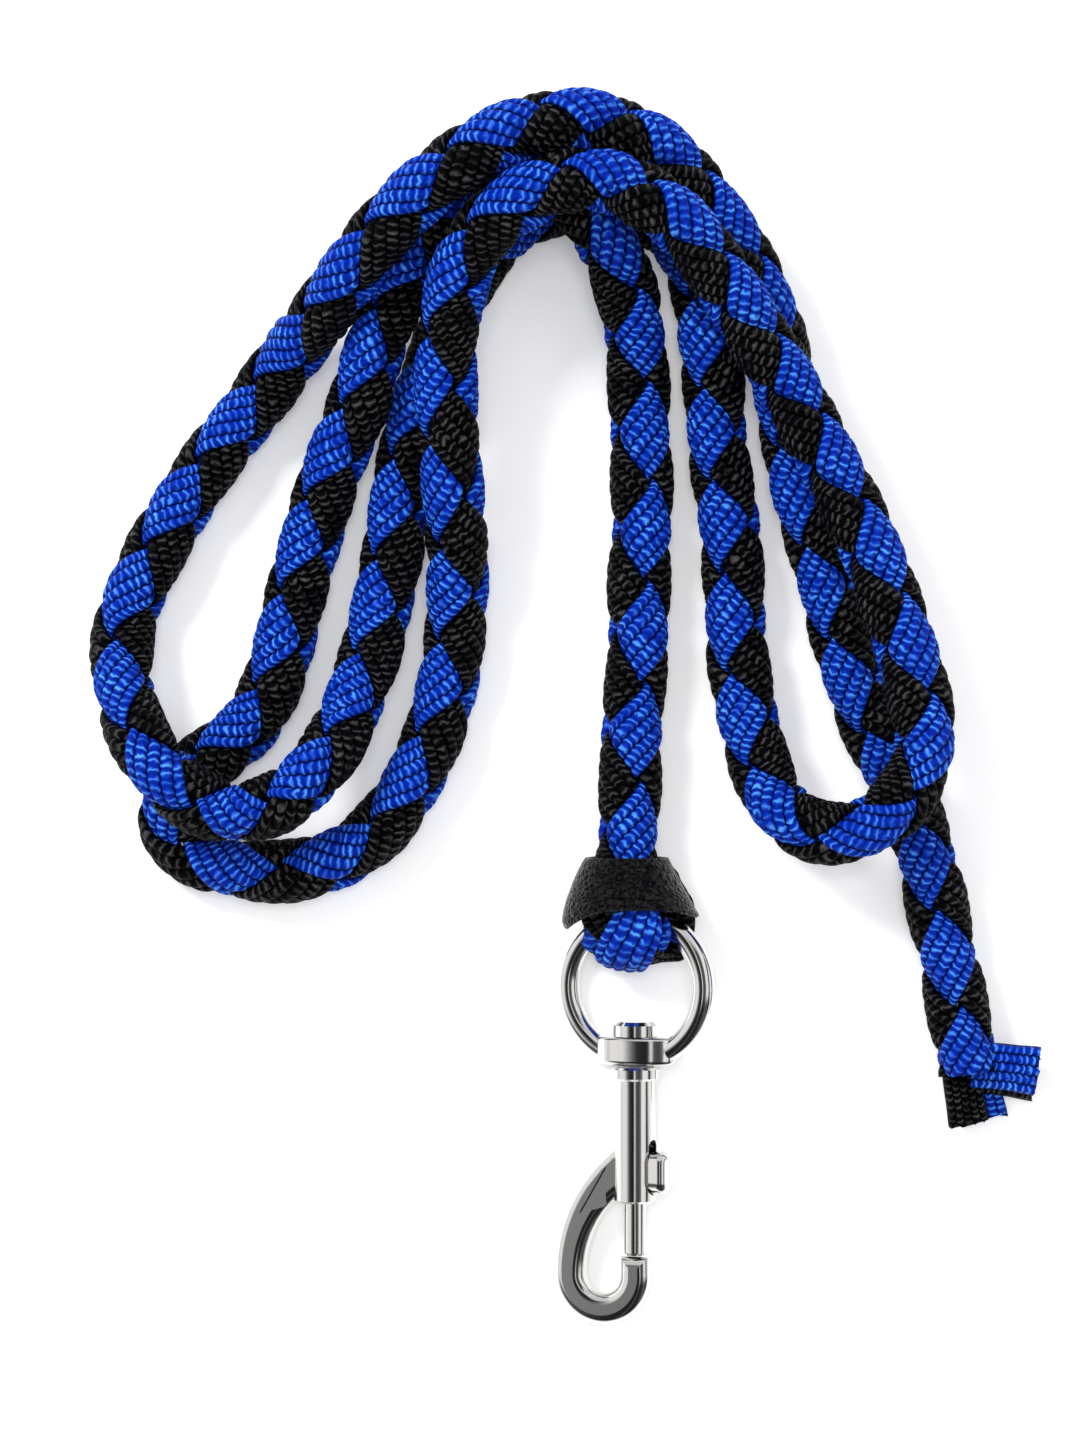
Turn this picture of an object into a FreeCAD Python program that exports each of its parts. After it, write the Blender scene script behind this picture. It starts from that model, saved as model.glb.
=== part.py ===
import FreeCAD, Part
import math
import os

import Sketcher

from FreeCAD import Placement, Rotation, Vector

# A braided lead rope lying in a loose bundle, with a swivel bolt snap bound on at one end.
# Millimetres. +Z is up and the floor is z = 0. The snap's swivel axis lies along Y, with the
# hook towards -Y. The origin is under the middle of the snap, bight and collar together.

doc = FreeCAD.newDocument("lead_rope")

# ---------------------------------------------------------------- driving dimensions
SIZES = {
    # rope
    "rope_tube_dia": 15.0,
    "bight_dia": 7.0,
    "tape_width": 11.0,
    "tape_thick": 3.0,
    "tape_end_long": 13.5,
    "tape_end_short": 10.0,
    # collar, at its upper and lower edges
    "collar_top_x": -2.2,
    "collar_top_y": 57.4,
    "collar_low_y": 45.5,
    "collar_top_wide": 20.4,
    "collar_top_deep": 19.0,
    "collar_low_wide": 34.0,
    "collar_low_deep": 21.2,
    "collar_wall": 1.2,
    "collar_mid_z": 10.7,
    "twine_dia": 1.0,
    "twine_pitch": 1.3,
    # swivel eye
    "swivel_height": 9.45,
    "eye_tilt": 22.0,
    "hook_tilt": 20.0,
    "ring_mid_dia": 35.2,
    "ring_bar_dia": 5.6,
    "ring_mid_y": 26.5,
    "block_wide": 20.6,
    "block_deep": 10.6,
    "block_low_y": 7.6,
    "block_top_y": 14.5,
    "block_fillet": 1.1,
    # rivet and washer
    "rivet_shank_dia": 5.0,
    "rivet_seat_dia": 5.9,
    "rivet_head_dia": 11.0,
    "rivet_head_thick": 3.6,
    "rivet_inner_y": -0.1,
    "running_gap": 0.06,
    "washer_dia": 9.0,
    "washer_thick": 0.36,
    # snap body
    "barrel_dia": 10.5,
    "barrel_low_y": -26.1,
    "flange_dia": 12.9,
    "flange_low_y": 3.9,
    "flange_top_y": 7.1,
    "bore_dia": 5.9,
    "hook_thick": 6.4,
    "hook_fillet": 2.6,
    "hook_outer": 12.4,
    "hook_outer_x": -8.3,
    "mouth_inner": 4.65,
    "mouth_inner_x": -8.05,
    "hook_turn_y": -44.1,
    "tip_top_y": -39.4,
    "arm_outer_bend": 39.9,
    "arm_inner_bend": 25.35,
    "web_recess": 0.8,
    # plunger, knob, spring
    "plunger_dia": 5.7,
    "plunger_back_y": -19.9,
    "plunger_gap": 0.25,
    "plunger_travel": 10.0,
    "stem_y": -22.4,
    "stem_dia": 3.2,
    "slot_wide": 3.4,
    "slot_angle": 14.0,
    "knob_wide": 5.9,
    "knob_long": 10.4,
    "knob_heel": 1.4,
    "knob_edge": 1.8,
    "knob_seat": 5.6,
    "knob_top": 9.6,
    "pin_dia": 1.8,
    "pin_in_knob": 4.0,
    "spring_mid_dia": 4.6,
    "spring_wire": 0.7,
    "spring_coils": 8.0,
}

sheet = doc.addObject("Spreadsheet::Sheet", "Sizes")
for row, (alias, value) in enumerate(SIZES.items(), start=1):
    sheet.set("A%d" % row, alias)
    sheet.set("B%d" % row, "%g" % value)
    sheet.setAlias("B%d" % row, alias)
doc.recompute()

# The rope's route from the collar to the cut tail, as hand-set points.
ROPE_ROUTE = [
    (-2.4, 55, 9.6), (-1.2, 75, 8.5), (-1, 91.5, 7.6), (0.8, 108, 7.6),
    (0.8, 127, 7.6), (2, 145.5, 7.6), (1, 164.5, 7.6), (0.5, 182.5, 9),
    (-2, 197, 15), (-7, 208, 22.5), (-14, 218, 24), (-23.5, 225, 24),
    (-33.5, 224.5, 22), (-43.5, 217.5, 19), (-52.5, 207, 18), (-59.5, 194, 17.5),
    (-64, 182, 17), (-67.5, 168.5, 15.5), (-74.3, 154, 10), (-79.7, 136.5, 7.6),
    (-84.3, 119, 7.6), (-87.8, 103.5, 7.6), (-93.8, 91, 7.6), (-103, 83.5, 7.6),
    (-111.2, 78.2, 7.6), (-115.4, 71, 7.6), (-113.2, 62.6, 7.6), (-105.0, 56.8, 7.6),
    (-93, 54.5, 7.6), (-78, 55.5, 7.6), (-65.5, 62, 7.6), (-56.5, 73, 7.6),
    (-50, 86.5, 7.6), (-45.5, 102, 7.6), (-43.5, 118.5, 9), (-43.5, 134.5, 15),
    (-44.5, 148.5, 21), (-45.5, 162, 23.5), (-46.4, 175.5, 24.5), (-45.2, 189, 26.5),
    (-42.5, 200.5, 30), (-36.5, 210, 34), (-27, 217, 38.5), (-16, 221, 39.5),
    (-5, 220, 39.5), (4.5, 215, 39), (12.5, 208, 37), (19, 199.5, 33.5),
    (26, 189, 30.5), (33.5, 177.5, 25.5), (41.5, 164, 23.5), (50, 147.5, 23),
    (58, 130.5, 23.2), (64, 113.5, 23), (68.5, 98, 23.5), (70, 85.5, 24),
    (65.5, 74, 24), (57.3, 66.5, 24), (46.5, 63.8, 23), (37.2, 67.6, 19),
    (31.4, 77, 13), (28, 91, 9), (25, 107, 7.6), (24.3, 124, 7.6),
    (23.3, 140.5, 7.6), (20.2, 157.5, 7.6), (19.5, 173, 7.6), (18, 188, 7.6),
    (15.5, 202, 7.6), (9.5, 213, 7.6), (-1, 218.5, 7.6), (-12, 219.5, 7.6),
    (-23.5, 218, 7.6), (-33, 212, 7.6), (-40.5, 202.5, 7.6), (-45.5, 191.5, 7.6),
    (-49, 179.5, 7.6), (-53.5, 168, 7.6), (-56.5, 154.5, 7.6), (-58.5, 138.5, 7.6),
    (-61.5, 123.5, 7.6), (-65, 108, 9), (-69.5, 94, 14), (-75.5, 82, 21),
    (-85, 72.5, 23.5), (-96, 69, 23.5), (-105.5, 71.5, 23.5), (-114.5, 78.5, 23.5),
    (-121, 88, 21), (-125.7, 101.5, 13), (-126, 115.5, 7.6), (-120, 129.5, 7.6),
    (-112.5, 143, 7.6), (-103.5, 157, 7.6), (-94, 168.5, 7.6), (-85, 181, 10),
    (-75, 192, 22.5), (-66.5, 203, 31), (-57.5, 213, 34.5), (-47, 222, 38),
    (-36, 229.5, 38.5), (-24, 234.5, 37.5), (-12, 235.8, 35), (1, 232, 30.5),
    (11, 224.5, 26), (18.2, 215, 22.5), (26, 204.5, 19.5), (31.5, 193.5, 15.5),
    (35.2, 182, 11), (37.2, 168.5, 7.6), (39.8, 153, 7.6), (44.2, 136.5, 7.6),
    (49.2, 119, 7.6), (53.2, 103, 7.6), (59.4, 87, 7.6), (67, 72.5, 7.6),
    (72, 57, 7.6), (75, 41.5, 7.6), (78.6, 27, 7.6), (81.6, 5.5, 7.6),
]

# The doubled end: down over the eye's low side, round, and up under its high side.
BIGHT_ROUTE = [
    (-4.0, 52.6, 11.0), (-6.7, 47.2, 13.2), (-7.8, 42.0, 14.6), (-6.0, 35.8, 13.2),
    (6.0, 35.8, 5.5), (7.8, 42.0, 4.3), (6.7, 47.2, 6.0), (4.0, 52.6, 8.6),
]

# The share of the shorter of two runs that the arc between them takes.
ARC_SHARE = 0.45

PARTS = {}


def size(alias):
    return float(getattr(sheet, alias))


def keep(node, obj, placement=None):
    """Name a finished sub-part after its node, place it and remember it for export."""
    obj.Label = node
    if placement is not None:
        obj.Placement = placement
    PARTS[node] = obj
    return obj


def bind(obj, **expressions):
    for prop, expression in expressions.items():
        obj.setExpression(prop, expression)


# ---------------------------------------------------------------- sketch helpers
def origin_plane(body, role):
    return next(f for f in body.Origin.OriginFeatures if f.Role == role)


def sketch_on(body, role, name, offset=None):
    sketch = body.newObject("Sketcher::SketchObject", name)
    sketch.AttachmentSupport = [(origin_plane(body, role), "")]
    sketch.MapMode = "FlatFace"
    if offset is not None:
        sketch.AttachmentOffset = offset
    return sketch


def add_loop(sketch, corners):
    """Close a loop of straight lines, each corner tied to the next."""
    first = sketch.GeometryCount
    count = len(corners)
    for i, corner in enumerate(corners):
        start = Vector(*corner, 0)
        end = Vector(*corners[(i + 1) % count], 0)
        sketch.addGeometry(Part.LineSegment(start, end), False)
    for i in range(count):
        sketch.addConstraint(
            Sketcher.Constraint("Coincident", first + i, 2, first + (i + 1) % count, 1)
        )
    return first


def revolve_about_y(body, name, profile):
    """Turn a half profile, given as (radius, y) corners, round the body's own Y axis."""
    sketch = sketch_on(body, "XY_Plane", name + "_profile")
    add_loop(sketch, profile)
    turned = body.newObject("PartDesign::Revolution", name)
    turned.Profile = sketch
    turned.ReferenceAxis = (sketch, ["V_Axis"])
    turned.Angle = 360.0
    return turned


def groove_about_y(body, name, profile):
    sketch = sketch_on(body, "XY_Plane", name + "_profile")
    add_loop(sketch, profile)
    cut = body.newObject("PartDesign::Groove", name)
    cut.Profile = sketch
    cut.ReferenceAxis = (sketch, ["V_Axis"])
    cut.Angle = 360.0
    return cut


def must_shrink(body, before, what):
    doc.recompute()
    if not body.Shape.Volume < before - 0.01:
        raise RuntimeError("%s cut nothing" % what)


# ---------------------------------------------------------------- placements
def turned_on_axis(tilt):
    """Raise the +X side by the tilt, about the swivel axis at its height above the floor."""
    return Placement(Vector(0, 0, size("swivel_height")), Rotation(Vector(0, 1, 0), -tilt))


def eye_place():
    return turned_on_axis(size("eye_tilt"))


def hook_place():
    return turned_on_axis(size("hook_tilt"))


ALONG_Y = Rotation(Vector(1, 0, 0), -90)


# ---------------------------------------------------------------- swivel eye
def make_swivel_eye():
    ring = doc.addObject("Part::Torus", "ring")
    bind(ring, Radius1="Sizes.ring_mid_dia / 2", Radius2="Sizes.ring_bar_dia / 2")
    ring.Placement = Placement(Vector(0, size("ring_mid_y"), 0), Rotation())

    # The bar's lowest stretch ends just inside the block instead of showing below it.
    below = doc.addObject("Part::Box", "ring_end_box")
    bind(below, Length="Sizes.block_wide", Width="Sizes.ring_bar_dia", Height="Sizes.block_deep")
    trim_y = size("block_low_y") + 0.5 - size("ring_bar_dia")
    below.Placement = Placement(
        Vector(-size("block_wide") / 2, trim_y, -size("block_deep") / 2), Rotation()
    )
    bar = doc.addObject("Part::Cut", "ring_bar")
    bar.Base = ring
    bar.Tool = below

    oval_face = doc.addObject("Part::Ellipse", "swivel_block_oval")
    bind(oval_face, MajorRadius="Sizes.block_wide / 2", MinorRadius="Sizes.block_deep / 2")
    oval_face.Placement = Placement(Vector(0, size("block_low_y"), 0), ALONG_Y)
    block = doc.addObject("Part::Extrusion", "swivel_block")
    block.Base = oval_face
    block.DirMode = "Custom"
    block.Dir = Vector(0, 1, 0)
    block.setExpression("LengthFwd", "Sizes.block_top_y - Sizes.block_low_y")
    block.Solid = True
    doc.recompute()
    soft_block = doc.addObject("Part::Fillet", "swivel_block_soft")
    soft_block.Base = block
    radius = size("block_fillet")
    rims = [
        i for i, edge in enumerate(block.Shape.Edges, start=1) if edge.BoundBox.YLength < 1e-6
    ]
    soft_block.Edges = [(i, radius, radius) for i in rims]

    casting = doc.addObject("Part::Fuse", "eye_casting")
    casting.Base = bar
    casting.Tool = soft_block

    hole = doc.addObject("Part::Cylinder", "swivel_hole")
    bind(
        hole,
        Radius="Sizes.rivet_shank_dia / 2 + Sizes.running_gap",
        Height="Sizes.block_top_y - Sizes.block_low_y + Sizes.ring_bar_dia",
    )
    hole.Placement = Placement(Vector(0, size("block_low_y") - 1, 0), ALONG_Y)

    eye = doc.addObject("Part::Cut", "swivel_eye")
    eye.Base = casting
    eye.Tool = hole
    keep("swivel_eye", eye, eye_place())


# ---------------------------------------------------------------- swivel rivet and washer
def make_swivel_rivet():
    body = doc.addObject("PartDesign::Body", "swivel_rivet")
    shank = size("rivet_shank_dia") / 2
    seat = size("rivet_seat_dia") / 2
    head = size("rivet_head_dia") / 2
    head_low = size("block_top_y") + 0.1
    head_top = head_low + size("rivet_head_thick")
    bevel = 0.9
    revolve_about_y(body, "rivet_turned", [
        (0, size("rivet_inner_y")),
        (seat, size("rivet_inner_y")),
        (seat, size("flange_top_y")),
        (shank, size("flange_top_y")),
        (shank, head_low),
        (head, head_low),
        (head, head_top - bevel),
        (head - bevel, head_top),
        (0, head_top),
    ])
    keep("swivel_rivet", body, hook_place())


def make_thrust_washer():
    disc = doc.addObject("Part::Cylinder", "washer_disc")
    bind(disc, Radius="Sizes.washer_dia / 2", Height="Sizes.washer_thick")
    hole = doc.addObject("Part::Cylinder", "washer_hole")
    bind(hole, Radius="Sizes.rivet_shank_dia / 2 + 0.05", Height="Sizes.washer_thick + 2")
    start = size("flange_top_y") + 0.03
    disc.Placement = Placement(Vector(0, start, 0), ALONG_Y)
    hole.Placement = Placement(Vector(0, start - 1, 0), ALONG_Y)
    washer = doc.addObject("Part::Cut", "thrust_washer")
    washer.Base = disc
    washer.Tool = hole
    keep("thrust_washer", washer, hook_place())


# ---------------------------------------------------------------- snap body
def arc_points(centre_x, centre_y, radius, start_deg, end_deg):
    """Start, middle and end of an arc, for Part.Arc."""
    angles = (start_deg, (start_deg + end_deg) / 2, end_deg)
    return [
        Vector(
            centre_x + radius * math.cos(math.radians(a)),
            centre_y + radius * math.sin(math.radians(a)),
            0,
        )
        for a in angles
    ]


def make_snap_body():
    body = doc.addObject("PartDesign::Body", "snap_body")
    barrel = size("barrel_dia") / 2
    turn_y = size("hook_turn_y")
    outer = size("hook_outer")
    inner = size("mouth_inner")
    outer_left = size("hook_outer_x") - outer
    inner_left = size("mouth_inner_x") - inner
    tip_right = size("hook_outer_x") + outer
    tip_left = size("mouth_inner_x") + inner

    # The arm's two edges are large arcs that start upright beside the hook's turn.
    def arm_edge(left, bend, reach_x):
        centre_x = left + bend
        climb = math.degrees(math.acos((centre_x - reach_x) / bend))
        return arc_points(centre_x, turn_y, bend, 180, 180 - climb)

    inside_wall = -barrel + 1.2
    outer_arm = arm_edge(outer_left, size("arm_outer_bend"), inside_wall)
    inner_arm = arm_edge(inner_left, size("arm_inner_bend"), inside_wall)
    outer_turn = arc_points(size("hook_outer_x"), turn_y, outer, 180, 360)
    inner_turn = arc_points(size("mouth_inner_x"), turn_y, inner, 180, 360)

    sketch = sketch_on(body, "XY_Plane", "hook_outline")
    tip_top = size("tip_top_y")
    sketch.addGeometry([
        Part.Arc(*outer_arm),
        Part.Arc(*outer_turn),
        Part.LineSegment(Vector(tip_right, turn_y, 0), Vector(tip_right, tip_top, 0)),
        Part.LineSegment(Vector(tip_right, tip_top, 0), Vector(tip_left, tip_top, 0)),
        Part.LineSegment(Vector(tip_left, tip_top, 0), Vector(tip_left, turn_y, 0)),
        Part.Arc(*inner_turn),
        Part.Arc(*inner_arm),
        Part.LineSegment(inner_arm[2], outer_arm[2]),
    ], False)
    hook = body.newObject("PartDesign::Pad", "hook_pad")
    hook.Profile = sketch
    hook.setExpression("Length", "Sizes.hook_thick")
    hook.Midplane = True
    doc.recompute()

    # Round every edge of the flat faces, except where the arm runs into the barrel.
    half = size("hook_thick") / 2
    names = []
    for i, edge in enumerate(hook.Shape.Edges, start=1):
        middle = edge.CenterOfMass
        flat = abs(edge.BoundBox.ZLength) < 1e-6 and abs(abs(middle.z) - half) < 1e-6
        joins_barrel = abs(middle.x - inside_wall) < 1e-3
        if flat and not joins_barrel:
            names.append("Edge%d" % i)
    soft = body.newObject("PartDesign::Fillet", "hook_soft")
    soft.Base = (hook, names)
    soft.setExpression("Radius", "Sizes.hook_fillet")
    doc.recompute()

    flange = size("flange_dia") / 2
    low = size("barrel_low_y")
    bevel = 0.5
    revolve_about_y(body, "barrel_turned", [
        (0, low),
        (barrel - bevel, low),
        (barrel, low + bevel),
        (barrel, size("flange_low_y")),
        (flange - bevel, size("flange_low_y")),
        (flange, size("flange_low_y") + bevel),
        (flange, size("flange_top_y") - bevel),
        (flange - bevel, size("flange_top_y")),
        (0, size("flange_top_y")),
    ])
    doc.recompute()

    before = body.Shape.Volume
    bore = size("bore_dia") / 2
    top = size("flange_top_y") + 1
    groove_about_y(body, "bore", [(0, low - 1), (bore, low - 1), (bore, top), (0, top)])
    must_shrink(body, before, "bore")

    # The slot that the knob's stem runs in, turned towards the thumb's side.
    before = body.Shape.Volume
    turn = Placement(Vector(0, 0, 0), Rotation(Vector(1, 0, 0), -size("slot_angle")))
    slot = sketch_on(body, "YZ_Plane", "slot_outline", turn)
    half_wide = size("slot_wide") / 2
    near = size("stem_y") - 0.1
    far = size("stem_y") + size("plunger_travel") + 0.1
    slot.addGeometry([
        Part.Arc(*arc_points(near, 0, half_wide, 90, 270)),
        Part.LineSegment(Vector(near, -half_wide, 0), Vector(far, -half_wide, 0)),
        Part.Arc(*arc_points(far, 0, half_wide, -90, 90)),
        Part.LineSegment(Vector(far, half_wide, 0), Vector(near, half_wide, 0)),
    ], False)
    cut = body.newObject("PartDesign::Pocket", "slot")
    cut.Profile = slot
    cut.Length = size("barrel_dia")
    cut.Reversed = True
    must_shrink(body, before, "slot")

    # A shallow three-sided recess in each face of the web beside the barrel.
    for face, lift in (("upper", half), ("lower", -half)):
        before = body.Shape.Volume
        at = Placement(Vector(0, 0, lift), Rotation())
        web = sketch_on(body, "XY_Plane", "web_%s_outline" % face, at)
        add_loop(web, [(-6.6, -17.1), (-6.6, -27.1), (-13.6, -29.1)])
        pocket = body.newObject("PartDesign::Pocket", "web_%s" % face)
        pocket.Profile = web
        pocket.setExpression("Length", "Sizes.web_recess")
        pocket.Reversed = face == "lower"
        must_shrink(body, before, "web recess")
    keep("snap_body", body, hook_place())


# ---------------------------------------------------------------- plunger group
def make_plunger_bolt():
    body = doc.addObject("PartDesign::Body", "plunger_bolt")
    radius = size("plunger_dia") / 2
    front = size("tip_top_y") + size("plunger_gap")
    back = size("plunger_back_y")
    bevel = 0.7
    revolve_about_y(body, "bolt_turned", [
        (0, front),
        (radius - bevel, front),
        (radius, front + bevel),
        (radius, back - bevel),
        (radius - bevel, back),
        (0, back),
    ])
    doc.recompute()
    before = body.Shape.Volume
    turn = Placement(Vector(0, 0, 0), Rotation(Vector(1, 0, 0), -size("slot_angle")))
    sketch = sketch_on(body, "YZ_Plane", "pin_hole_outline", turn)
    centre = Vector(size("stem_y"), 0, 0)
    sketch.addGeometry(Part.Circle(centre, Vector(0, 0, 1), size("pin_dia") / 2), False)
    hole = body.newObject("PartDesign::Pocket", "pin_hole")
    hole.Profile = sketch
    hole.setExpression("Length", "Sizes.plunger_dia")
    hole.Reversed = True
    must_shrink(body, before, "pin hole")
    keep("plunger_bolt", body, hook_place())


def knob_place():
    """The knob's own +Z points out through the slot, and its own X lies along the barrel."""
    out = math.radians(size("slot_angle"))
    z_axis = Vector(math.cos(out), 0, math.sin(out))
    x_axis = Vector(0, 1, 0)
    facing = Rotation(x_axis, z_axis.cross(x_axis), z_axis, "ZXY")
    return hook_place().multiply(Placement(Vector(0, size("stem_y"), 0), facing))


def make_thumb_knob():
    body = doc.addObject("PartDesign::Body", "thumb_knob")
    seat = size("knob_seat")
    lift = Placement(Vector(0, 0, seat), Rotation())
    head_sketch = sketch_on(body, "XY_Plane", "knob_outline", lift)
    half_wide = size("knob_wide") / 2
    near = half_wide - size("knob_heel")
    far = near + size("knob_long") - size("knob_wide")
    head_sketch.addGeometry([
        Part.Arc(*arc_points(near, 0, half_wide, 90, 270)),
        Part.LineSegment(Vector(near, -half_wide, 0), Vector(far, -half_wide, 0)),
        Part.Arc(*arc_points(far, 0, half_wide, -90, 90)),
        Part.LineSegment(Vector(far, half_wide, 0), Vector(near, half_wide, 0)),
    ], False)
    head = body.newObject("PartDesign::Pad", "knob_head")
    head.Profile = head_sketch
    head.setExpression("Length", "Sizes.knob_top - Sizes.knob_seat")
    doc.recompute()
    top = size("knob_top")
    rim = [
        "Edge%d" % i
        for i, edge in enumerate(head.Shape.Edges, start=1)
        if edge.BoundBox.ZMin > top - 1e-6
    ]
    soft = body.newObject("PartDesign::Fillet", "knob_soft")
    soft.Base = (head, rim)
    soft.Radius = size("knob_edge")
    doc.recompute()

    stem_start = size("plunger_dia") / 2 + 0.02
    stem_lift = Placement(Vector(0, 0, stem_start), Rotation())
    stem_sketch = sketch_on(body, "XY_Plane", "stem_outline", stem_lift)
    stem_sketch.addGeometry(Part.Circle(Vector(), Vector(0, 0, 1), size("stem_dia") / 2), False)
    stem = body.newObject("PartDesign::Pad", "knob_stem")
    stem.Profile = stem_sketch
    stem.Length = seat - stem_start + 0.5
    doc.recompute()

    before = body.Shape.Volume
    hole_lift = Placement(Vector(0, 0, stem_start), Rotation())
    hole_sketch = sketch_on(body, "XY_Plane", "knob_pin_hole_outline", hole_lift)
    hole_sketch.addGeometry(Part.Circle(Vector(), Vector(0, 0, 1), size("pin_dia") / 2), False)
    hole = body.newObject("PartDesign::Pocket", "knob_pin_hole")
    hole.Profile = hole_sketch
    hole.setExpression("Length", "Sizes.pin_in_knob")
    hole.Reversed = True
    must_shrink(body, before, "knob pin hole")
    keep("thumb_knob", body, knob_place())


def make_knob_pin():
    pin = doc.addObject("Part::Cylinder", "knob_pin")
    length = size("pin_in_knob") + size("plunger_dia") / 2
    bind(pin, Radius="Sizes.pin_dia / 2")
    pin.Height = length - 0.1
    keep("knob_pin", pin, knob_place())


def make_plunger_spring():
    coil = doc.addObject("Part::Helix", "spring_path")
    room = size("rivet_inner_y") - size("plunger_back_y") - size("spring_wire") - 0.2
    coil.Height = room
    coil.Pitch = room / size("spring_coils")
    bind(coil, Radius="Sizes.spring_mid_dia / 2")
    wire = doc.addObject("Part::Circle", "spring_wire_section")
    bind(wire, Radius="Sizes.spring_wire / 2")
    wire.Placement = Placement(Vector(size("spring_mid_dia") / 2, 0, 0), Rotation(Vector(1, 0, 0), 90))
    spring = doc.addObject("Part::Sweep", "plunger_spring")
    spring.Sections = [wire]
    spring.Spine = (coil, ["Edge1"])
    spring.Solid = True
    spring.Frenet = True
    start_y = size("plunger_back_y") + size("spring_wire") / 2 + 0.1
    inside = Placement(Vector(0, start_y, 0), ALONG_Y)
    keep("plunger_spring", spring, hook_place().multiply(inside))


# ---------------------------------------------------------------- collar
def oval(name, shrink, x, y, wide, deep, z):
    """An ellipse across the rope, its wide axis along X, shrunk by a wall's thickness."""
    ring = doc.addObject("Part::Ellipse", name)
    ring.MajorRadius = wide / 2 - shrink
    ring.MinorRadius = deep / 2 - shrink
    ring.Placement = Placement(Vector(x, y, z), ALONG_Y)
    return ring


def make_collar():
    top_y = size("collar_top_y")
    low_y = size("collar_low_y")
    slope = (size("collar_top_wide") - size("collar_low_wide")) / (top_y - low_y)
    lean = size("collar_top_x") / (top_y - low_y)
    top_z = size("collar_top_deep") / 2 + 0.1
    low_z = size("collar_mid_z")
    lofts = []
    for name, shrink, extra in (
        ("collar_outside", 0.0, 0.0),
        ("collar_inside", size("collar_wall"), 0.5),
    ):
        upper = oval(
            name + "_top", shrink, lean * (top_y - low_y + extra), top_y + extra,
            size("collar_top_wide") + slope * extra, size("collar_top_deep"), top_z,
        )
        lower = oval(
            name + "_low", shrink, -lean * extra, low_y - extra,
            size("collar_low_wide") - slope * extra, size("collar_low_deep"), low_z,
        )
        loft = doc.addObject("Part::Loft", name)
        loft.Sections = [upper, lower]
        loft.Solid = True
        loft.Ruled = True
        lofts.append(loft)
    collar = doc.addObject("Part::Cut", "collar")
    collar.Base, collar.Tool = lofts
    keep("collar", collar, Placement())


# ---------------------------------------------------------------- rope
def rounded_path(route):
    """Straight runs joined by tangent arcs. Returns the wire, its length and the radii."""
    points = [Vector(*p) for p in route]
    edges = []
    radii = []
    at = points[0]
    for before, corner, after in zip(points, points[1:], points[2:]):
        incoming = corner - before
        outgoing = after - corner
        turn = incoming.getAngle(outgoing)
        reach = ARC_SHARE * min(incoming.Length, outgoing.Length)
        radii.append(reach / math.tan(turn / 2))
        incoming.normalize()
        outgoing.normalize()
        start = corner - incoming * reach
        end = corner + outgoing * reach
        inward = (outgoing - incoming).normalize()
        to_centre = radii[-1] / math.cos(turn / 2)
        middle = corner + inward * (to_centre - radii[-1])
        edges.append(Part.LineSegment(at, start).toShape())
        edges.append(Part.Arc(start, middle, end).toShape())
        at = end
    edges.append(Part.LineSegment(at, points[-1]).toShape())
    wire = Part.Wire(edges)
    return wire, wire.Length, radii


def make_tube(node, route, diameter):
    wire, length, radii = rounded_path(route)
    start = Vector(*route[0])
    heading = Vector(*route[1]) - start
    section = Part.Wire([Part.Circle(start, heading, diameter / 2).toShape()])
    shape = wire.makePipeShell([section], True, True)
    expected = math.pi * diameter ** 2 / 4 * length
    if abs(shape.Volume / expected - 1) > 0.005:
        raise RuntimeError("%s: volume %.0f, not %.0f" % (node, shape.Volume, expected))
    print("%s: %.0f mm long, radii %s" % (node, length, " ".join("%.0f" % r for r in radii)))
    tube = doc.addObject("Part::Feature", node)
    tube.Shape = shape
    keep(node, tube, Placement())


def make_seizing_twine():
    """Turns of twine round both legs of the bight, hidden in the collar."""
    turns = []
    for i in range(3):
        y = 47.4 + i * size("twine_pitch")
        centre = Vector(0, y, 10.1)
        half_wide = 12.6 - 0.55 * i
        half_deep = 7.7 - 0.1 * i
        loop = Part.Ellipse(
            centre + Vector(half_wide, 0, 0), centre + Vector(0, 0, half_deep), centre
        ).toShape()
        at = centre + Vector(half_wide, 0, 0)
        section = Part.Wire([Part.Circle(at, Vector(0, 0, 1), size("twine_dia") / 2).toShape()])
        turns.append(Part.Wire([loop]).makePipeShell([section], True, True))
    twine = doc.addObject("Part::Feature", "seizing_twine")
    twine.Shape = Part.makeCompound(turns)
    keep("seizing_twine", twine, Placement())


def make_tape_ends():
    """The four cut tapes past the rope's last turn: one pair straight on, one pair turned aside."""
    wide = size("tape_width")
    ends = [
        # node, length alias, start, heading in degrees from +X, height of the underside
        ("blue_tape_end_straight", "tape_end_long", (85.2, 4.6), -80.0, 0.2),
        ("black_tape_end_straight", "tape_end_long", (81.2, 4.2), -82.0, 3.4),
        ("black_tape_end_turned", "tape_end_short", (89.9, 5.3), -8.0, 3.4),
        ("blue_tape_end_turned", "tape_end_short", (90.1, 6.7), -6.0, 6.6),
    ]
    for node, long_alias, (x, y), heading, under in ends:
        tape = doc.addObject("Part::Box", node)
        tape.setExpression("Length", "Sizes." + long_alias)
        tape.setExpression("Width", "Sizes.tape_width")
        tape.setExpression("Height", "Sizes.tape_thick")
        turn = Rotation(Vector(0, 0, 1), heading)
        corner = Vector(x, y, under) - turn.multVec(Vector(0, wide / 2, 0))
        keep(node, tape, Placement(corner, turn))


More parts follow.
